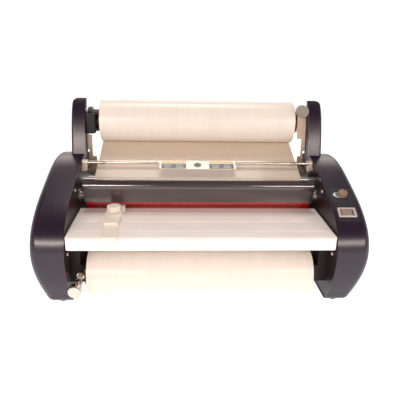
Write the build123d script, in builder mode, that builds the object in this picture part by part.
from build123d import *
import os
from math import acos, asin, atan2, cos, pi, radians, sin, sqrt, tan

# A desktop two-roll film laminator with a clear heat shield.
# X runs across the machine, Y from the operator (front, -Y) to the rear, Z up.
# The origin is on the surface under the feet, below the middle of the machine.
# All sizes are in millimetres.

# Driving dimensions
FOOT_HEIGHT = 12.0
TABLE_Z = 230.0            # paper path: feed tray top and both nips
REAR_Y = 270.0             # back of the side covers

COVER_INNER_X = 362.0      # opening plane of each side cover
COVER_OUTER_X = 455.0
COVER_FOOT_X = 426.0       # outer face at the bottom, where the cover tapers in
TAPER_Z = 205.0            # the taper starts below this height
COVER_WALL = 3.0
COVER_EDGE_R = 22.0
POST_OUTER_X = 406.0
POST_EDGE_R = 9.0
POST_CORNER_R = 18.0
POST_TOP_Z = 534.0

PLATE_INNER_X = 364.0      # steel side frames
PLATE_THICK = 4.0
PLATE_GAP = 0.3            # side frame to cover wall
PLATE_OUTER_X = PLATE_INNER_X + PLATE_THICK

TRAY_HALF_WIDTH = 358.7
TRAY_FRONT_Y = -260.0
TRAY_REAR_Y = -26.2
TRAY_NOSE = 33.6
TRAY_WALL = 3.0
TRAY_FLANGE = 8.0

HEAT_Y = 2.0
HEAT_R = 32.0
PULL_Y = 135.0
PULL_R = 25.5
NIP_GAP = 1.0
HEAT_HALF_CENTRES = HEAT_R + NIP_GAP / 2
PULL_HALF_CENTRES = PULL_R + NIP_GAP / 2
ROLLER_HALF = 343.0

FILM_HALF = 317.5          # 25 inch film
FILM_THICK = 0.2
UPPER_ROLL = (202.0, 458.7)
UPPER_ROLL_R = 67.5
LOWER_ROLL = (-153.3, 82.2)
LOWER_ROLL_R = 66.9
CORE_R = 17.0
CORE_BORE_R = 13.0
SEAT_GAP = 0.05            # radial clearance of seated and running fits

UPPER_IDLER = (14.0, 312.0)
LOWER_IDLER = (14.0, 148.0)
IDLER_R = 8.0

HINGE = (60.0, 351.0)      # shield hinge axis
SHIELD_HALF = 345.0
SHIELD_THICK = 3.0
HINGE_ROD_R = 6.0
HINGE_PIN_R = 4.0

HEAT_TEETH = 26
HEAT_MODULE = 2 * HEAT_HALF_CENTRES / HEAT_TEETH
PULL_TEETH = 26
PULL_MODULE = 2 * PULL_HALF_CENTRES / PULL_TEETH
CHAIN_PITCH = 9.525
HEAT_SPROCKET = 24
PULL_SPROCKET = 19
MOTOR_SPROCKET = 12
MOTOR = (150.0, 105.0)
GEAR_X = 372.0
GEAR_WIDTH = 11.0
SPROCKET_X = 388.0
SPROCKET_THICK = 3.0

PANEL_X = (372.0, 435.0)   # control panel recess in the right cover
PANEL_Y = (-215.0, -95.0)
PANEL_DEPTH = 0.8
KNOB_X, KNOB_Y = 405.0, -126.0
BEZEL_X, BEZEL_Y = 401.0, -190.0
BEZEL_SIZE = (50.0, 33.0)

HEAT_TOP = (HEAT_Y, TABLE_Z + HEAT_HALF_CENTRES)
HEAT_BOTTOM = (HEAT_Y, TABLE_Z - HEAT_HALF_CENTRES)
PULL_TOP = (PULL_Y, TABLE_Z + PULL_HALF_CENTRES)
PULL_BOTTOM = (PULL_Y, TABLE_Z - PULL_HALF_CENTRES)

COVER_CURVE = [(-205, 12), (-249, 108), (-262, 170), (-244, 231), (-195, 275), (-68, 327), (60, 362), (125, 366)]
COVER_REAR_CURVE = [(125, 366), (190, 353), (245, 318), (REAR_Y, 262)]
POST_CURVE = [(104, 350), (113, 392), (132, 459), (151, 502), (181, POST_TOP_Z)]
POST_REAR = [(187, POST_TOP_Z), (178, 490), (165, 420), (158, 340)]
COVER_SCREWS = [(-215, 165), (-120, 185), (-70, 300), (60, 60), (235, 70), (225, 300), (165, 500)]

os.makedirs("parts", exist_ok=True)


# Helpers
def save(piece, name):
    piece.part.label = name
    export_step(piece.part, "parts/" + name + ".step")


def side_plane(x):
    """Side view plane at x: sketch X is the model's Y, sketch Y is the model's Z."""
    return Plane.YZ.offset(x)


def rod(centre, radius, x_low, x_high, mode=Mode.ADD):
    """Round bar along X in the current part."""
    with BuildSketch(side_plane(x_low)) as disc:
        with Locations(centre):
            Circle(radius)
    extrude(disc.sketch, amount=x_high - x_low, mode=mode)


def block(x_range, y_range, z_range, mode=Mode.ADD):
    """Rectangular block in the current part, given by its limits."""
    middle = [(low + high) / 2 for low, high in (x_range, y_range, z_range)]
    size = [high - low for low, high in (x_range, y_range, z_range)]
    with Locations(tuple(middle)):
        Box(size[0], size[1], size[2], mode=mode)


def front_rod(centre_xz, radius, y_low, y_high, mode=Mode.ADD):
    """Round bar along Y in the current part."""
    with BuildSketch(Plane.XZ.offset(-y_high)) as disc:
        with Locations(centre_xz):
            Circle(radius)
    extrude(disc.sketch, amount=y_high - y_low, mode=mode)


def tangent_points(centre_a, radius_a, centre_b, radius_b):
    """Line tangent to two circles; a radius is positive where the line passes to the left of the centre."""
    dy = centre_b[0] - centre_a[0]
    dz = centre_b[1] - centre_a[1]
    length = sqrt(dy * dy + dz * dz)
    heading = atan2(dz, dy) + asin((radius_b - radius_a) / length)
    normal = (-sin(heading), cos(heading))
    start = (centre_a[0] + radius_a * normal[0], centre_a[1] + radius_a * normal[1])
    end = (centre_b[0] + radius_b * normal[0], centre_b[1] + radius_b * normal[1])
    return start, end


def mid_arc(start, end, centre, radius, side):
    """Point half-way along the arc that bulges towards the direction side."""
    y = (start[0] + end[0]) / 2 - centre[0]
    z = (start[1] + end[1]) / 2 - centre[1]
    length = sqrt(y * y + z * z)
    sign = 1 if y * side[0] + z * side[1] > 0 else -1
    return (centre[0] + sign * radius * y / length, centre[1] + sign * radius * z / length)


# Side cover shapes
CURVE_STEPS = 14


def inset_curve(points, inset):
    """Points of the smooth line through points, moved to its right by inset."""
    with BuildLine() as line:
        Spline(*points)
    edge = line.edge()
    moved = []
    for step in range(CURVE_STEPS + 1):
        spot = edge @ (step / CURVE_STEPS)
        along = edge % (step / CURVE_STEPS)
        moved.append((spot.X + inset * along.Y, spot.Y - inset * along.X))
    return moved


def cover_profile(inset):
    points = inset_curve(COVER_CURVE + COVER_REAR_CURVE[1:], inset)
    rear = points[-1][0]
    floor = FOOT_HEIGHT + inset
    with BuildSketch() as sketch:
        with BuildLine():
            Spline(*points)
            Polyline(points[-1], (rear, -20), (points[0][0], -20), points[0])
        make_face()
        with Locations((0, floor - 50)):
            Rectangle(800, 100, mode=Mode.SUBTRACT)
        fillet(sketch.vertices().sort_by_distance((rear, floor))[0], 30 - inset)
        fillet(sketch.vertices().sort_by_distance((COVER_CURVE[0][0], floor))[0], 28 - inset)
    return sketch.sketch


def post_profile(inset):
    front = inset_curve(POST_CURVE, inset)
    rear = [(y - inset, z) for y, z in POST_REAR]
    with BuildSketch() as sketch:
        with BuildLine():
            Spline(*front)
            Polyline(front[-1], (front[-1][0], 600), (rear[0][0], 600), rear[0])
            Spline(*rear)
            Line(rear[-1], front[0])
        make_face()
        with Locations((200, POST_TOP_Z - inset + 50)):
            Rectangle(300, 100, mode=Mode.SUBTRACT)
    return sketch.sketch


def cover_outline(inset):
    """Front view of the cover: upright above the taper, curving in below it."""
    with BuildSketch() as sketch:
        with BuildLine():
            side = Line((COVER_OUTER_X - inset, 620), (COVER_OUTER_X - inset, TAPER_Z))
            lower = TangentArc(side @ 1, (COVER_FOOT_X - inset, 0), tangent=(0, -1))
            Polyline(lower @ 1, (COVER_INNER_X - 2, 0), (COVER_INNER_X - 2, 620), side @ 0)
        make_face()
    return sketch.sketch


def cover_body(inset):
    main = cover_profile(inset)
    post = post_profile(inset)
    outline = cover_outline(inset)
    with BuildPart() as body:
        with BuildSketch(side_plane(COVER_INNER_X)):
            add(main)
        extrude(amount=COVER_OUTER_X - COVER_INNER_X)
        with BuildSketch(Plane.XZ):
            add(outline)
        extrude(amount=400, both=True, mode=Mode.INTERSECT)
        rim = body.edges().filter_by_position(Axis.X, COVER_FOOT_X - inset - 8, COVER_OUTER_X)
        taper_line = rim.filter_by(Axis.Y).filter_by_position(Axis.Z, TAPER_Z - 1, TAPER_Z + 1)
        fillet([edge for edge in rim if edge not in taper_line], COVER_EDGE_R - inset)
    with BuildPart() as fin:
        with BuildSketch(side_plane(COVER_INNER_X)):
            add(post)
        extrude(amount=POST_OUTER_X - inset - COVER_INNER_X)
        outer = fin.faces().sort_by(Axis.X)[-1].edges()
        fillet([outer.sort_by(Axis.Y)[0], outer.sort_by(Axis.Y)[-1]], POST_EDGE_R - inset)
        with BuildSketch(Plane.XZ) as front:
            with Locations((COVER_INNER_X - 10, 300)):
                Rectangle(POST_OUTER_X - inset - COVER_INNER_X + 10, POST_TOP_Z - inset - 300, align=Align.MIN)
            fillet(front.vertices().sort_by_distance((POST_OUTER_X, POST_TOP_Z))[0], POST_CORNER_R - inset)
        extrude(amount=400, both=True, mode=Mode.INTERSECT)
    with BuildPart() as whole:
        add(body)
        add(fin)
    return whole.part


def surface_plane(x, y):
    """Plane lying on the cover's curved top at x, y, with its normal outwards."""
    with BuildLine() as line:
        Spline(*inset_curve(COVER_CURVE, 0))
    edge = line.edge()
    low, high = 0.0, 1.0
    for _ in range(40):
        half = (low + high) / 2
        if (edge @ half).X < y or (edge @ half).Y < TABLE_Z:
            low = half
        else:
            high = half
    spot = edge @ low
    along = edge % low
    return Plane(origin=(x, spot.X, spot.Y), x_dir=(1, 0, 0), z_dir=(0, -along.Y, along.X))


cover_outside = cover_body(0)
cover_inside = cover_body(COVER_WALL)

with BuildPart() as cover_bosses:
    with BuildSketch(side_plane(PLATE_OUTER_X)):
        with Locations(*COVER_SCREWS):
            Circle(6)
    extrude(amount=100)
    add(cover_outside, mode=Mode.INTERSECT)

with BuildPart() as cover_shell:
    add(cover_outside)
    add(cover_inside, mode=Mode.SUBTRACT)
    add(cover_bosses)
    with BuildSketch(side_plane(PLATE_OUTER_X)):
        with Locations(*COVER_SCREWS):
            Circle(2.05)
    extrude(amount=14, mode=Mode.SUBTRACT)

# Control panel: overlay let into the right cover's curved top
knob_plane = surface_plane(KNOB_X, KNOB_Y)
bezel_plane = surface_plane(BEZEL_X, BEZEL_Y)
band_outer = cover_profile(0)
band_inner = cover_profile(PANEL_DEPTH)

with BuildPart() as panel_band:
    with BuildSketch(side_plane(PANEL_X[0])):
        add(band_outer)
        add(band_inner, mode=Mode.SUBTRACT)
    extrude(amount=PANEL_X[1] - PANEL_X[0])
    with BuildSketch(Plane.XY.offset(240)):
        with Locations(((PANEL_X[0] + PANEL_X[1]) / 2, (PANEL_Y[0] + PANEL_Y[1]) / 2)):
            RectangleRounded(PANEL_X[1] - PANEL_X[0], PANEL_Y[1] - PANEL_Y[0], 7)
    extrude(amount=160, mode=Mode.INTERSECT)

BEZEL_BODY = (BEZEL_SIZE[0] - 5, BEZEL_SIZE[1] - 4)
with BuildPart() as panel_holes:
    with BuildSketch(knob_plane.offset(-30)):
        Circle(3.0 + SEAT_GAP)
    extrude(amount=60)
    with BuildSketch(bezel_plane.offset(-30)):
        RectangleRounded(BEZEL_BODY[0] + 0.2, BEZEL_BODY[1] + 0.2, 2)
    extrude(amount=60)
    with BuildSketch(bezel_plane.offset(-0.5)):
        RectangleRounded(BEZEL_SIZE[0] + 0.4, BEZEL_SIZE[1] + 0.4, 3.2)
    extrude(amount=20)

with BuildPart() as panel_overlay:
    add(panel_band)
    add(panel_holes, mode=Mode.SUBTRACT)
save(panel_overlay, "panel_overlay")

with BuildPart() as right_side_cover:
    add(cover_shell)
    add(panel_band, mode=Mode.SUBTRACT)
    add(panel_holes, mode=Mode.SUBTRACT)
save(right_side_cover, "right_side_cover")

with BuildPart() as left_side_cover:
    add(cover_shell)
    mirror(about=Plane.YZ, mode=Mode.REPLACE)
save(left_side_cover, "left_side_cover")

ROCKER_SIZE = (29.0, 23.0)
ROCKER_PIN_R = 2.0
with BuildPart() as display_bezel:
    with BuildSketch(bezel_plane.offset(-0.5)):
        RectangleRounded(BEZEL_SIZE[0], BEZEL_SIZE[1], 3)
    extrude(amount=3.0)
    chamfer(display_bezel.faces().filter_by(lambda f: f.normal_at().dot(bezel_plane.z_dir) > 0.99).edges(), 0.8)
    with BuildSketch(bezel_plane.offset(-14)):
        RectangleRounded(BEZEL_BODY[0], BEZEL_BODY[1], 1.9)
    extrude(amount=13.5)
    with BuildSketch(bezel_plane.offset(-12)):
        RectangleRounded(38, 25, 2)
    extrude(amount=20, mode=Mode.SUBTRACT)
    with BuildSketch(Plane(origin=bezel_plane.offset(-5).origin, x_dir=(0, 1, 0), z_dir=(1, 0, 0))):
        Circle(ROCKER_PIN_R + SEAT_GAP)
    extrude(amount=21.5, both=True, mode=Mode.SUBTRACT)
save(display_bezel, "display_bezel")

with BuildPart() as panel_rocker:
    with BuildSketch(bezel_plane.offset(-8.5)):
        RectangleRounded(ROCKER_SIZE[0], ROCKER_SIZE[1], 3)
    extrude(amount=9.5)
    chamfer(panel_rocker.faces().filter_by(lambda f: f.normal_at().dot(bezel_plane.z_dir) > 0.99).edges(), 1.2)
    with BuildSketch(Plane(origin=bezel_plane.offset(-5).origin, x_dir=(0, 1, 0), z_dir=(1, 0, 0))):
        Circle(ROCKER_PIN_R)
    extrude(amount=21, both=True)
save(panel_rocker, "panel_rocker")

SPEED_KNOB_R = 13.0
with BuildPart() as speed_knob:
    with BuildSketch(knob_plane.offset(0.6)):
        Circle(SPEED_KNOB_R)
    extrude(amount=12, taper=5)
    fillet(speed_knob.edges().filter_by(GeomType.CIRCLE).sort_by_distance(knob_plane.offset(12.6).origin)[0], 2)
    with BuildSketch(knob_plane.offset(-15)):
        Circle(3.0)
    extrude(amount=16)
save(speed_knob, "speed_knob")

board_plane = surface_plane(403.0, -158.0)
with BuildPart() as control_board:
    with BuildSketch(board_plane.offset(-28)):
        Rectangle(58, 112)
    extrude(amount=1.6)
    with BuildSketch(board_plane.offset(-26.4)):
        with Locations((-20, -8), (18, -4), (-18, 14), (20, 12)):
            Rectangle(12, 9)
    extrude(amount=5)
    with BuildSketch(board_plane.offset(-28)):
        with Locations((0, 38)):
            Rectangle(16, 16)
    extrude(amount=9)
    with BuildSketch(side_plane(PLATE_OUTER_X)):
        with Locations((-155, 272)):
            Rectangle(20, 8, rotation=22)
    extrude(amount=10)
save(control_board, "control_board")

# Side frames: steel plates that close the covers and carry every shaft
plate_main = cover_profile(COVER_WALL + PLATE_GAP)
plate_post = post_profile(COVER_WALL + PLATE_GAP)
HEAT_BEARING_R = 18.0
PULL_BEARING_R = 13.0
HEAT_JOURNAL_R = 12.0
PULL_JOURNAL_R = 8.0
IDLER_PIN_R = 4.0
UPPER_STUB_R = 8.0

with BuildPart() as frame_blank:
    with BuildSketch(side_plane(PLATE_INNER_X)) as blank:
        add(plate_main)
        add(plate_post)
        with Locations(HEAT_TOP, HEAT_BOTTOM):
            Circle(HEAT_BEARING_R + SEAT_GAP, mode=Mode.SUBTRACT)
        with Locations(PULL_TOP, PULL_BOTTOM):
            Circle(PULL_BEARING_R + SEAT_GAP, mode=Mode.SUBTRACT)
        with Locations(UPPER_IDLER, LOWER_IDLER):
            Circle(IDLER_PIN_R + SEAT_GAP, mode=Mode.SUBTRACT)
        with Locations(*COVER_SCREWS):
            Circle(2.3, mode=Mode.SUBTRACT)
    extrude(amount=PLATE_THICK)

with BuildPart() as right_side_frame:
    add(frame_blank)
    rod(MOTOR, 10, PLATE_INNER_X, PLATE_OUTER_X, mode=Mode.SUBTRACT)
save(right_side_frame, "right_side_frame")

with BuildPart() as left_side_frame:
    add(frame_blank)
    mirror(about=Plane.YZ, mode=Mode.REPLACE)
save(left_side_frame, "left_side_frame")

with BuildPart() as frame_screws:
    for side in (-1, 1):
        for centre in COVER_SCREWS:
            rod(centre, 2.0, min(side * 362, side * 376), max(side * 362, side * 376))
            rod(centre, 4.5, min(side * 361.2, side * 364), max(side * 361.2, side * 364))
    heads = frame_screws.edges().filter_by(GeomType.CIRCLE).filter_by(lambda e: abs(abs(e.center().X) - 361.2) < 0.1)
    fillet(heads, 1.8)
save(frame_screws, "frame_screws")

with BuildPart() as rubber_feet:
    with BuildSketch(Plane.XY):
        with Locations((395, -165), (395, 205), (-395, -165), (-395, 205)):
            Circle(15)
    extrude(amount=FOOT_HEIGHT)
    fillet(rubber_feet.edges().filter_by_position(Axis.Z, -0.1, 0.1), 2)
save(rubber_feet, "rubber_feet")

with BuildPart() as base_plate:
    block((-PLATE_INNER_X, PLATE_INNER_X), (-40, 230), (16, 38))
    offset(amount=-2, openings=base_plate.faces().sort_by(Axis.Z)[-1])
    with GridLocations(60, 30, 9, 5):
        Box(30, 5, 200, mode=Mode.SUBTRACT)
save(base_plate, "base_plate")

with BuildPart() as tie_rods:
    for centre in ((40, 60), (220, 150), (160, 300)):
        rod(centre, 7, -PLATE_INNER_X, PLATE_INNER_X)
save(tie_rods, "tie_rods")

# Rear panel with louvres, power inlet and power switch
INLET_X = 300.0
PANEL_REAR_Y = 258.0
with BuildPart() as rear_panel:
    block((-PLATE_INNER_X, PLATE_INNER_X), (PANEL_REAR_Y - 2, PANEL_REAR_Y), (46, 205))
    block((-PLATE_INNER_X, PLATE_INNER_X), (PANEL_REAR_Y - 30, PANEL_REAR_Y - 2), (203, 205))
    block((-PLATE_INNER_X, PLATE_INNER_X), (235, PANEL_REAR_Y), (44, 46))
    with Locations((-60, PANEL_REAR_Y, 120)):
        with GridLocations(16, 1, 28, 1):
            Box(6, 20, 70, mode=Mode.SUBTRACT)
    block((INLET_X - 24, INLET_X + 24), (240, 270), (60, 118), mode=Mode.SUBTRACT)
save(rear_panel, "rear_panel")

with BuildPart() as power_inlet:
    block((INLET_X - 23.8, INLET_X + 23.8), (225, PANEL_REAR_Y), (60.2, 117.8))
    block((INLET_X - 29, INLET_X + 29), (PANEL_REAR_Y, PANEL_REAR_Y + 2.5), (55, 123))
    block((INLET_X - 13, INLET_X + 13), (240, 266), (66, 85), mode=Mode.SUBTRACT)
    for pin_x, pin_z in ((-7, 73), (0, 78), (7, 73)):
        block((INLET_X + pin_x - 1, INLET_X + pin_x + 1), (239, 256), (pin_z - 2.5, pin_z + 2.5))
    block((INLET_X - 15, INLET_X + 15), (244, 266), (91, 113), mode=Mode.SUBTRACT)
    rod((252, 102), 2 + SEAT_GAP, INLET_X - 18, INLET_X + 18, mode=Mode.SUBTRACT)
save(power_inlet, "power_inlet")

with BuildPart() as power_rocker:
    with BuildSketch(side_plane(INLET_X - 14)):
        with BuildLine():
            lower = Line((247.5, 93), (258.5, 92.5))
            upper = Line((258.5, 111.5), (247.5, 111))
            ThreePointArc(lower @ 1, (260.5, 102), upper @ 0)
            Line(upper @ 1, lower @ 0)
        make_face()
    extrude(amount=28)
    rod((252, 102), 2, INLET_X - 17.5, INLET_X + 17.5)
save(power_rocker, "power_rocker")

# Nip rollers
def roller_core(centre, tube_r, bore_r, journal_r, shaft_bore_r, left_end, right_end):
    """Tube with closed ends and journals, turned about the roller's axis."""
    with BuildPart() as core:
        rod(centre, tube_r, -ROLLER_HALF, ROLLER_HALF)
        rod(centre, bore_r, -ROLLER_HALF + 12, ROLLER_HALF - 12, mode=Mode.SUBTRACT)
        rod(centre, journal_r, left_end, -ROLLER_HALF)
        rod(centre, journal_r, ROLLER_HALF, right_end)
        if shaft_bore_r:
            rod(centre, shaft_bore_r, left_end, right_end, mode=Mode.SUBTRACT)
    return core


def roller_sleeve(centre, outer_r, inner_r):
    with BuildPart() as sleeve:
        rod(centre, outer_r, -ROLLER_HALF, ROLLER_HALF)
        chamfer(sleeve.edges(), 1)
        rod(centre, inner_r + SEAT_GAP, -ROLLER_HALF, ROLLER_HALF, mode=Mode.SUBTRACT)
    return sleeve


HEAT_TUBE_R = HEAT_R - 3
PULL_TUBE_R = PULL_R - 4
for name, centre in (("upper", HEAT_TOP), ("lower", HEAT_BOTTOM)):
    save(roller_core(centre, HEAT_TUBE_R, 23, HEAT_JOURNAL_R, 9, -376, 398), name + "_heat_roller_tube")
    save(roller_sleeve(centre, HEAT_R, HEAT_TUBE_R), name + "_heat_roller_sleeve")
for name, centre in (("upper", PULL_TOP), ("lower", PULL_BOTTOM)):
    save(roller_core(centre, PULL_TUBE_R, 16, PULL_JOURNAL_R, 0, -374, 398), name + "_pull_roller_shaft")
    save(roller_sleeve(centre, PULL_R, PULL_TUBE_R), name + "_pull_roller_sleeve")

with BuildPart() as roller_bearings:
    for side in (-1, 1):
        for centres, outer, journal in (
            ((HEAT_TOP, HEAT_BOTTOM), HEAT_BEARING_R, HEAT_JOURNAL_R),
            ((PULL_TOP, PULL_BOTTOM), PULL_BEARING_R, PULL_JOURNAL_R),
        ):
            for centre in centres:
                inner_x = side * (PLATE_INNER_X - 2.5)
                outer_x = side * (PLATE_OUTER_X + 1)
                step_x = side * PLATE_INNER_X
                rod(centre, outer, min(inner_x, outer_x), max(inner_x, outer_x))
                rod(centre, outer + 3, min(inner_x, step_x), max(inner_x, step_x))
                rod(centre, journal + SEAT_GAP, min(inner_x, outer_x), max(inner_x, outer_x), mode=Mode.SUBTRACT)
save(roller_bearings, "roller_bearings")

with BuildPart() as heater_rods:
    for centre, foot in ((HEAT_TOP, 40), (HEAT_BOTTOM, -40)):
        rod(centre, 6, -386, 340)
        low = min(centre[1], centre[1] + foot)
        high = max(centre[1], centre[1] + foot)
        block((-388, -385), (centre[0] - 9, centre[0] + 9), (low - 3, high + 3))
        foot_z = centre[1] + foot
        block((-388, -PLATE_OUTER_X), (centre[0] - 9, centre[0] + 9), (foot_z - 3, foot_z + 3))
save(heater_rods, "heater_rods")


# Gears and sprockets
def involute(angle):
    return tan(angle) - angle


def tooth_points(teeth, module):
    """One gear tooth about +X: involute flanks from the root to the tip."""
    pressure = radians(20)
    pitch_r = teeth * module / 2
    base_r = pitch_r * cos(pressure)
    root_r = pitch_r - 1.25 * module
    tip_r = pitch_r + 0.95 * module
    backlash = 0.10 / pitch_r
    flank = [(root_r - 0.5, pi / (2 * teeth) + involute(pressure) - backlash)]
    steps = 5
    for step in range(steps + 1):
        radius = base_r + (tip_r - base_r) * step / steps
        roll = involute(acos(base_r / radius))
        flank.append((radius, pi / (2 * teeth) + involute(pressure) - roll - backlash))
    upper = [(radius * cos(angle), radius * sin(angle)) for radius, angle in flank]
    return upper + [(x, -y) for x, y in reversed(upper)]


def gear_sketch(centre, teeth, module, phase):
    points = tooth_points(teeth, module)
    root_r = teeth * module / 2 - 1.25 * module
    with Locations(centre):
        Circle(root_r)
        with PolarLocations(0, teeth, start_angle=phase):
            Polygon(*points, align=None)


def sprocket_pitch_r(teeth):
    return CHAIN_PITCH / (2 * sin(pi / teeth))


def sprocket(centre, teeth, bore_r):
    with BuildSketch(side_plane(SPROCKET_X)) as wheel:
        with Locations(centre):
            Circle(sprocket_pitch_r(teeth) + 0.3)
            with PolarLocations(sprocket_pitch_r(teeth), teeth):
                Circle(3.2, mode=Mode.SUBTRACT)
            if bore_r:
                Circle(bore_r + SEAT_GAP, mode=Mode.SUBTRACT)
    extrude(wheel.sketch, amount=SPROCKET_THICK)


def drive_gear(centre, teeth, module, phase, bore_r, hub_r, sprocket_teeth):
    """Spur gear with a hub, and a chain sprocket on the hub where it is driven."""
    with BuildPart() as gear:
        with BuildSketch(side_plane(GEAR_X)):
            gear_sketch(centre, teeth, module, phase)
            with Locations(centre):
                Circle(bore_r + SEAT_GAP, mode=Mode.SUBTRACT)
        extrude(amount=GEAR_WIDTH)
        with BuildSketch(side_plane(GEAR_X + GEAR_WIDTH)):
            with Locations(centre):
                Circle(hub_r)
                Circle(bore_r + SEAT_GAP, mode=Mode.SUBTRACT)
        extrude(amount=SPROCKET_X - GEAR_X - GEAR_WIDTH)
        if sprocket_teeth:
            sprocket(centre, sprocket_teeth, bore_r)
    return gear


HALF_TOOTH = 180.0 / HEAT_TEETH
save(drive_gear(HEAT_TOP, HEAT_TEETH, HEAT_MODULE, 90, HEAT_JOURNAL_R, 17, 0), "upper_heat_gear")
save(drive_gear(HEAT_BOTTOM, HEAT_TEETH, HEAT_MODULE, 90 + HALF_TOOTH, HEAT_JOURNAL_R, 17, HEAT_SPROCKET),
     "lower_heat_gear")
save(drive_gear(PULL_TOP, PULL_TEETH, PULL_MODULE, 90, PULL_JOURNAL_R, 13, 0), "upper_pull_gear")
save(drive_gear(PULL_BOTTOM, PULL_TEETH, PULL_MODULE, 90 + HALF_TOOTH, PULL_JOURNAL_R, 13, PULL_SPROCKET),
     "lower_pull_gear")

MOTOR_SHAFT_R = 6.0
with BuildPart() as motor_sprocket:
    rod(MOTOR, MOTOR_SHAFT_R, 345, 394)
    rod(MOTOR, 11, 376, SPROCKET_X)
    sprocket(MOTOR, MOTOR_SPROCKET, 0)
save(motor_sprocket, "motor_sprocket")

with BuildPart() as gearmotor:
    block((322, PLATE_INNER_X), (MOTOR[0] - 36, MOTOR[0] + 36), (MOTOR[1] - 36, MOTOR[1] + 36))
    fillet(gearmotor.edges().filter_by(Axis.X), 6)
    rod(MOTOR, 33, 215, 322)
    rod(MOTOR, 12, 205, 215)
    rod(MOTOR, MOTOR_SHAFT_R + SEAT_GAP, 343, PLATE_INNER_X, mode=Mode.SUBTRACT)
save(gearmotor, "gearmotor")

chain_wheels = ((HEAT_BOTTOM, HEAT_SPROCKET), (PULL_BOTTOM, PULL_SPROCKET), (MOTOR, MOTOR_SPROCKET))
with BuildPart() as drive_chain:
    with BuildSketch(side_plane(SPROCKET_X - 1.5)):
        for centre, teeth in chain_wheels:
            with Locations(centre):
                Circle(sprocket_pitch_r(teeth) + 4.2)
        make_hull()
        with BuildSketch(mode=Mode.SUBTRACT):
            for centre, teeth in chain_wheels:
                with Locations(centre):
                    Circle(sprocket_pitch_r(teeth) + 0.7)
            make_hull()
    extrude(amount=SPROCKET_THICK + 3)
save(drive_chain, "drive_chain")

# Idlers and the film threaded round them
for name, centre in (("upper_idler", UPPER_IDLER), ("lower_idler", LOWER_IDLER)):
    with BuildPart() as idler:
        rod(centre, IDLER_R, -340, 340)
        rod(centre, IDLER_PIN_R, -PLATE_OUTER_X - 1, PLATE_OUTER_X + 1)
    save(idler, name)

WEB_GAP = 0.3              # film to a turning roller


def film_web(roll, roll_r, idler, roller, up):
    """Film from the supply roll over the idler, round the heat roller and out through both nips."""
    half = FILM_THICK / 2
    roll_side = roll_r + WEB_GAP + half
    idler_side = -(IDLER_R + WEB_GAP + half)
    roller_side = -up * (HEAT_R + WEB_GAP + half)
    from_roll, to_idler = tangent_points(roll, roll_side, idler, idler_side)
    from_idler, to_roller = tangent_points(idler, idler_side, roller, roller_side)
    nip = (HEAT_Y, TABLE_Z + half * up)
    exit_point = (200.0, TABLE_Z + half * up)
    with BuildPart() as web:
        with BuildSketch(side_plane(-FILM_HALF)):
            with BuildLine() as path:
                Line(from_roll, to_idler)
                turn = mid_arc(to_idler, from_idler, idler, -idler_side, (-up, up))
                ThreePointArc(to_idler, turn, from_idler)
                Line(from_idler, to_roller)
                wrap = mid_arc(to_roller, nip, roller, abs(roller_side), (-1, -up))
                ThreePointArc(to_roller, wrap, nip)
                Line(nip, exit_point)
            trace(path.edges(), line_width=FILM_THICK)
        extrude(amount=2 * FILM_HALF)
    return web


save(film_web(UPPER_ROLL, UPPER_ROLL_R, UPPER_IDLER, HEAT_TOP, 1), "upper_film_web")
save(film_web(LOWER_ROLL, LOWER_ROLL_R, LOWER_IDLER, HEAT_BOTTOM, -1), "lower_film_web")

# Film supplies: wound roll, core tube and the chucks that hold its ends
for name, centre, radius in (("upper", UPPER_ROLL, UPPER_ROLL_R), ("lower", LOWER_ROLL, LOWER_ROLL_R)):
    with BuildPart() as film_roll:
        rod(centre, radius, -FILM_HALF, FILM_HALF)
        rod(centre, CORE_R + SEAT_GAP, -FILM_HALF, FILM_HALF, mode=Mode.SUBTRACT)
    save(film_roll, name + "_film_roll")
    with BuildPart() as core_tube:
        rod(centre, CORE_R, -FILM_HALF, FILM_HALF)
        rod(centre, CORE_BORE_R, -FILM_HALF, FILM_HALF, mode=Mode.SUBTRACT)
    save(core_tube, name + "_core_tube")

CHUCK_R = 36.5
JOURNAL_R = 10.0
CHUCK_X = FILM_HALF + 0.5
with BuildPart() as upper_chucks:
    rod(UPPER_ROLL, CORE_BORE_R - SEAT_GAP, -CHUCK_X, -CHUCK_X + 60)
    rod(UPPER_ROLL, CHUCK_R, -347, -CHUCK_X)
    rod(UPPER_ROLL, 45, -360, -347)
    rod(UPPER_ROLL, UPPER_STUB_R, -384, -360)
    rod(UPPER_ROLL, CORE_BORE_R - SEAT_GAP, CHUCK_X - 60, CHUCK_X + 3)
    rod(UPPER_ROLL, CHUCK_R, CHUCK_X + 3, CHUCK_X + 14)
    rod(UPPER_ROLL, JOURNAL_R, CHUCK_X + 14, 362)
    rims = upper_chucks.edges().filter_by(GeomType.CIRCLE).filter_by(lambda e: e.radius > 30)
    chamfer(rims, 1.2)
save(upper_chucks, "upper_chucks")

with BuildPart() as lower_chucks:
    for side in (-1, 1):
        for radius, inner, outer in (
            (CORE_BORE_R - SEAT_GAP, CHUCK_X - 60, CHUCK_X),
            (CHUCK_R, CHUCK_X, CHUCK_X + 10),
            (JOURNAL_R, CHUCK_X + 10, 362),
        ):
            rod(LOWER_ROLL, radius, min(side * inner, side * outer), max(side * inner, side * outer))
save(lower_chucks, "lower_chucks")

# Upper supply supports

ARM_Y = (181.0, 193.0)     # steel arms stand behind the posts
ARM_FOOT_Z = 346.0         # below this the arms lie on the side frames
ARM_WING_Z = 364.0         # above the side cover the arms widen behind the posts


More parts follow.
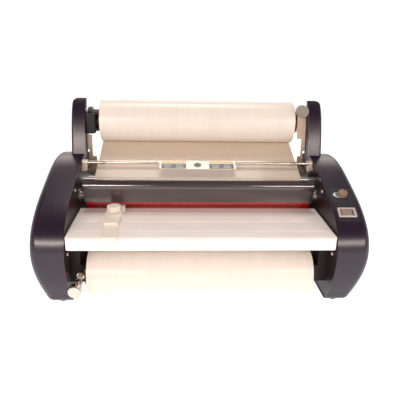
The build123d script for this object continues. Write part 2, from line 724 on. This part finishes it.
def stepped_arm(side, steps, wing_x):
    """Steel arm on a side frame; steps are (inner X, lower Z, upper Z) from the bottom up."""
    outline = [(side * PLATE_INNER_X, steps[0][1])]
    for inner_x, low, high in steps:
        outline += [(side * inner_x, low), (side * inner_x, high)]
    edge_x = COVER_INNER_X - PLATE_GAP
    outline += [(side * wing_x, steps[-1][2]), (side * wing_x, ARM_WING_Z), (side * edge_x, ARM_WING_Z)]
    outline += [(side * edge_x, ARM_FOOT_Z), (side * PLATE_INNER_X, ARM_FOOT_Z)]
    with BuildPart() as arm:
        with BuildSketch(Plane.XZ.offset(-ARM_Y[1])) as front:
            with BuildLine():
                Polyline(*outline, close=True)
            make_face()
            fillet(front.vertices().filter_by(lambda v: abs(v.X) < edge_x - 1), 3)
        extrude(amount=ARM_Y[1] - ARM_Y[0])
    return arm.part


UPPER_KNOB = (337.3, 505.1)
KNOB_STEM_R = 3.5
BOSS_REAR_Y = 224.0
right_arm_blank = stepped_arm(1, ((346, 290, 345), (356, 345, 406), (340, 406, 487)), 384)
with BuildPart() as right_supply_arm:
    add(right_arm_blank)
    block((371, 390), ARM_Y, (406, 490), mode=Mode.SUBTRACT)
    block((332, 352), ARM_Y, (480, 511))
    block((334, 361.5), (ARM_Y[0], BOSS_REAR_Y), (430, 487))
    rod(UPPER_ROLL, JOURNAL_R + SEAT_GAP, 326, 362.5, mode=Mode.SUBTRACT)
    front_rod(UPPER_KNOB, KNOB_STEM_R + SEAT_GAP, 170, 210, mode=Mode.SUBTRACT)
save(right_supply_arm, "right_supply_arm")

left_arm_blank = stepped_arm(-1, ((338, 290, 340), (351, 340, 412), (361.5, 412, 487)), 386)
with BuildPart() as left_supply_arm:
    add(left_arm_blank)
    block((-386, -361.5), (ARM_Y[0], BOSS_REAR_Y), (430, 487))
    rod(UPPER_ROLL, UPPER_STUB_R + SEAT_GAP, -390, -360, mode=Mode.SUBTRACT)
save(left_supply_arm, "left_supply_arm")

with BuildPart() as left_latch_block:
    block((-PLATE_INNER_X, -331), (146, 156), (425, 488))
    fillet(left_latch_block.edges().filter_by(Axis.Y).filter_by_position(Axis.X, -332, -330), 5)
    chamfer(left_latch_block.faces().sort_by(Axis.Y)[0].edges().filter_by(Axis.X), 2)
save(left_latch_block, "left_latch_block")


def grip_sketch(radius, lobes, depth):
    """Knob outline with shallow finger lobes."""
    Circle(radius)
    with PolarLocations(radius + depth, lobes):
        Circle(2.2 * depth, mode=Mode.SUBTRACT)


KNOB_GRIP_R = 20.2
KNOB_REAR_Y = 148.0
with BuildPart() as upper_tension_knob:
    with BuildSketch(Plane.XZ.offset(-KNOB_REAR_Y)):
        with Locations(UPPER_KNOB):
            grip_sketch(KNOB_GRIP_R, 12, 1.2)
    extrude(amount=20)
    front_face = upper_tension_knob.faces().sort_by(Axis.Y)[0]
    chamfer(front_face.edges(), 1.0)
    front_rod(UPPER_KNOB, 9, KNOB_REAR_Y, KNOB_REAR_Y + 8)
    front_rod(UPPER_KNOB, KNOB_STEM_R, KNOB_REAR_Y + 8, 203)
save(upper_tension_knob, "upper_tension_knob")

# Lower supply supports
LOWER_KNOB = (-341.0, 78.0)
BRACKET_FRONT = -172.0
with BuildPart() as lower_supply_brackets:
    for side in (-1, 1):
        for x_in, x_out, y_range, z_range in (
            (331, PLATE_INNER_X, (BRACKET_FRONT, -128), (58, 108)),
            (340, PLATE_INNER_X, (-172, -134), (108, 176)),
        ):
            block((min(side * x_in, side * x_out), max(side * x_in, side * x_out)), y_range, z_range)
        low, high = min(side * 326, side * 362.5), max(side * 326, side * 362.5)
        rod(LOWER_ROLL, JOURNAL_R + SEAT_GAP, low, high, mode=Mode.SUBTRACT)
    front_rod(LOWER_KNOB, 4.0 + SEAT_GAP, -184, -162, mode=Mode.SUBTRACT)
save(lower_supply_brackets, "lower_supply_brackets")

with BuildPart() as lower_tension_knob:
    front_rod(LOWER_KNOB, 4.0, -266, -164)
    front_rod(LOWER_KNOB, 11, BRACKET_FRONT - 4, BRACKET_FRONT - 0.5)
    with BuildSketch(Plane.XZ.offset(214)):
        with Locations(LOWER_KNOB):
            RegularPolygon(12, 6)
    extrude(amount=10)
    with BuildSketch(Plane.XZ.offset(246)):
        with Locations(LOWER_KNOB):
            grip_sketch(17.0, 10, 1.0)
    extrude(amount=24)
    chamfer(lower_tension_knob.faces().sort_by(Axis.Y)[0].edges(), 1.5)
save(lower_tension_knob, "lower_tension_knob")

# Heat shield
SHIELD_LIP = (-40.0, 255.0)
SHIELD_BULGE = (-45.0, 292.0)
SHIELD_KNEE = (-30.0, 324.0)
SHIELD_END = (63.0, 362.0)
with BuildPart() as heat_shield:
    with BuildSketch(side_plane(-SHIELD_HALF)):
        with BuildLine() as shield_path:
            top = Line(SHIELD_END, SHIELD_KNEE)
            TangentArc(top @ 1, SHIELD_BULGE, tangent=top % 1)
            nose = shield_path.edges()[-1]
            TangentArc(nose @ 1, SHIELD_LIP, tangent=nose % 1)
        trace(shield_path.edges(), line_width=SHIELD_THICK)
    extrude(amount=2 * SHIELD_HALF)
    for clip_x in (-300, 0, 300):
        with BuildSketch(side_plane(clip_x - 9)) as clip:
            with BuildLine():
                Polyline((53, 344.5), (67, 344.5), (67, 362), (53, 357), close=True)
            make_face()
        extrude(clip.sketch, amount=18)
    rod(HINGE, HINGE_ROD_R + SEAT_GAP, -SHIELD_HALF, SHIELD_HALF, mode=Mode.SUBTRACT)
save(heat_shield, "heat_shield")

with BuildPart() as shield_hinge_rod:
    rod(HINGE, HINGE_ROD_R, -349, 349)
    rod(HINGE, HINGE_PIN_R, -362, 362)
    for side in (-1, 1):
        rod(HINGE, 9, min(side * 346, side * 349.5), max(side * 346, side * 349.5))
save(shield_hinge_rod, "shield_hinge_rod")

with BuildPart() as shield_hinge_blocks:
    for side in (-1, 1):
        low, high = min(side * 350, side * 361.8), max(side * 350, side * 361.8)
        block((low, high), (HINGE[0] - 11, HINGE[0] + 11), (HINGE[1] - 26, HINGE[1] + 8))
        foot_low, foot_high = min(side * 350, side * PLATE_INNER_X), max(side * 350, side * PLATE_INNER_X)
        block((foot_low, foot_high), (HINGE[0] - 11, HINGE[0] + 11), (HINGE[1] - 26, HINGE[1] - 10))
        rod(HINGE, HINGE_PIN_R + SEAT_GAP, low, high, mode=Mode.SUBTRACT)
    fillet(shield_hinge_blocks.edges().filter_by(Axis.X).filter_by_position(Axis.Z, HINGE[1] + 7, HINGE[1] + 9), 5)
save(shield_hinge_blocks, "shield_hinge_blocks")

with BuildPart() as interlock_switch:
    block((342, PLATE_INNER_X), (20, 40), (318, 330))
    rod((25, 334), 2.5, 348, 356)
    block((350, 354), (23, 27), (330, 334))
save(interlock_switch, "interlock_switch")

# Feed tray, its rails, and the paper guide that slides along it
TRAY_BOTTOM = TABLE_Z - TRAY_NOSE
FLANGE_Z = TABLE_Z - TRAY_FLANGE
GROOVES_Y = (-69.0, -139.0, -209.0)


def tray_profile(inset):
    with BuildSketch() as sketch:
        with BuildLine():
            Polyline((TRAY_FRONT_Y + inset, TRAY_BOTTOM - inset), (TRAY_FRONT_Y + inset, TABLE_Z - inset),
                     (TRAY_REAR_Y - inset, TABLE_Z - inset), (TRAY_REAR_Y - inset, FLANGE_Z - inset),
                     (-222 - inset, FLANGE_Z - inset), (-226 - inset, TRAY_BOTTOM - inset), close=True)
        make_face()
        fillet(sketch.vertices().sort_by_distance((TRAY_FRONT_Y, TABLE_Z))[0], 10 - inset)
    return sketch.sketch


tray_outside = tray_profile(0)
tray_inside = tray_profile(TRAY_WALL)
with BuildPart() as feed_tray:
    with BuildSketch(side_plane(-TRAY_HALF_WIDTH)):
        add(tray_outside)
    extrude(amount=2 * TRAY_HALF_WIDTH)
    with BuildSketch(Plane.XY.offset(TRAY_BOTTOM - 1)) as plan:
        with Locations((0, (TRAY_FRONT_Y + TRAY_REAR_Y) / 2)):
            Rectangle(2 * TRAY_HALF_WIDTH, TRAY_REAR_Y - TRAY_FRONT_Y)
        fillet(plan.vertices().group_by(Axis.Y)[0], 9)
    extrude(amount=TRAY_NOSE + 2, mode=Mode.INTERSECT)
    with BuildSketch(side_plane(-TRAY_HALF_WIDTH + TRAY_WALL)):
        add(tray_inside)
    extrude(amount=2 * (TRAY_HALF_WIDTH - TRAY_WALL), mode=Mode.SUBTRACT)
    for groove_y in GROOVES_Y:
        with BuildSketch(side_plane(-TRAY_HALF_WIDTH)):
            with Locations((groove_y, TABLE_Z)):
                Trapezoid(8, 1.2, 60, align=(Align.CENTER, Align.CENTER), rotation=180)
        extrude(amount=2 * TRAY_HALF_WIDTH, mode=Mode.SUBTRACT)
    with BuildSketch(Plane.XY.offset(TABLE_Z)):
        with Locations((258, -224), (268, -224), (335, -224), (345, -224)):
            SlotOverall(7, 2.4)
    extrude(amount=-10, mode=Mode.SUBTRACT)
save(feed_tray, "feed_tray")

with BuildPart() as tray_rails:
    for side in (-1, 1):
        inner, web, wall = side * 340, side * 361, side * PLATE_INNER_X
        block((min(inner, wall), max(inner, wall)), (-212, -44), (FLANGE_Z - 3, FLANGE_Z))
        block((min(web, wall), max(web, wall)), (-212, -44), (FLANGE_Z - 22, FLANGE_Z - 3))
save(tray_rails, "tray_rails")

GUIDE_X = -248.0
GUIDE_LIFT = 0.2           # running gap between the guide and the tray
GUIDE_ARM_TOP = TABLE_Z + 5
GUIDE_BODY_TOP = TABLE_Z + 12
GUIDE_KNOB = (-251.0, -85.0)
GUIDE_KNOB_R = 20.2
with BuildPart() as paper_guide:
    with BuildSketch(Plane.XY.offset(TABLE_Z + GUIDE_LIFT)):
        Polygon((-263, -264.5), (-223.5, -264.5), (-229, -176), (-268.5, -176), align=None)
    extrude(amount=GUIDE_ARM_TOP - TABLE_Z - GUIDE_LIFT)
    block((-263, -223.5), (-264.5, TRAY_FRONT_Y - GUIDE_LIFT), (TRAY_BOTTOM + 6, GUIDE_ARM_TOP))
    fillet(paper_guide.edges().filter_by(Axis.X).filter_by_position(Axis.Y, -265, -264).sort_by(Axis.Z)[-1], 4)
    with BuildSketch(Plane.XY.offset(TABLE_Z + GUIDE_LIFT)) as body_plan:
        with BuildLine():
            Polyline((-268, -179), (-274, -118), (-274, -58), (-229, -58), (-227, -118), (-229, -179), close=True)
        make_face()
        fillet(body_plan.vertices().group_by(Axis.Y)[-1], 8)
    extrude(amount=GUIDE_BODY_TOP - TABLE_Z - GUIDE_LIFT)
    block((-236, -221.5), (-66, -50), (TABLE_Z + GUIDE_LIFT, TABLE_Z + 20))
    fillet(paper_guide.edges().filter_by(Axis.Z).filter_by_position(Axis.X, -222, -221), 2)
    with BuildSketch(Plane.XY.offset(TABLE_Z + 4)):
        with Locations(GUIDE_KNOB):
            Circle(4.0 + SEAT_GAP)
    extrude(amount=30, mode=Mode.SUBTRACT)
save(paper_guide, "paper_guide")

with BuildPart() as guide_knob:
    with BuildSketch(Plane.XY.offset(GUIDE_BODY_TOP + 0.4)):
        with Locations(GUIDE_KNOB):
            grip_sketch(GUIDE_KNOB_R, 8, 2.0)
    extrude(amount=17)
    fillet(guide_knob.faces().sort_by(Axis.Z)[-1].edges(), 1.5)
    with BuildSketch(Plane.XY.offset(TABLE_Z + 5)):
        with Locations(GUIDE_KNOB):
            Circle(4.0)
    extrude(amount=10)
save(guide_knob, "guide_knob")

# Rear slitter on its track
TRACK_Z = 268.0
TRACK_Y = 236.0
with BuildPart() as slitter_track:
    block((-PLATE_INNER_X, PLATE_INNER_X), (TRACK_Y - 8, TRACK_Y + 8), (TRACK_Z - 7, TRACK_Z + 7))
    block((-PLATE_INNER_X, PLATE_INNER_X), (TRACK_Y + 5, TRACK_Y + 9), (TRACK_Z - 2, TRACK_Z + 2), mode=Mode.SUBTRACT)
    block((-PLATE_INNER_X, PLATE_INNER_X), (TRACK_Y - 9, TRACK_Y - 5), (TRACK_Z - 2, TRACK_Z + 2), mode=Mode.SUBTRACT)
save(slitter_track, "slitter_track")

with BuildPart() as slitter_carriage:
    block((-16, 16), (TRACK_Y - 14, TRACK_Y + 14), (TRACK_Z - 13, TRACK_Z + 13))
    fillet(slitter_carriage.edges().filter_by(Axis.X), 3)
    block((-20, 20), (TRACK_Y - 8.3, TRACK_Y + 8.3), (TRACK_Z - 7.3, TRACK_Z + 7.3), mode=Mode.SUBTRACT)
    block((-5, 5), (TRACK_Y - 6, TRACK_Y + 10), (TRACK_Z + 12, TRACK_Z + 32))
    fillet(slitter_carriage.edges().filter_by(Axis.X).filter_by_position(Axis.Z, TRACK_Z + 31, TRACK_Z + 33), 5)
    block((-2.5, 2.5), (TRACK_Y - 12, TRACK_Y + 4), (TABLE_Z - 4, TRACK_Z - 12))
save(slitter_carriage, "slitter_carriage")
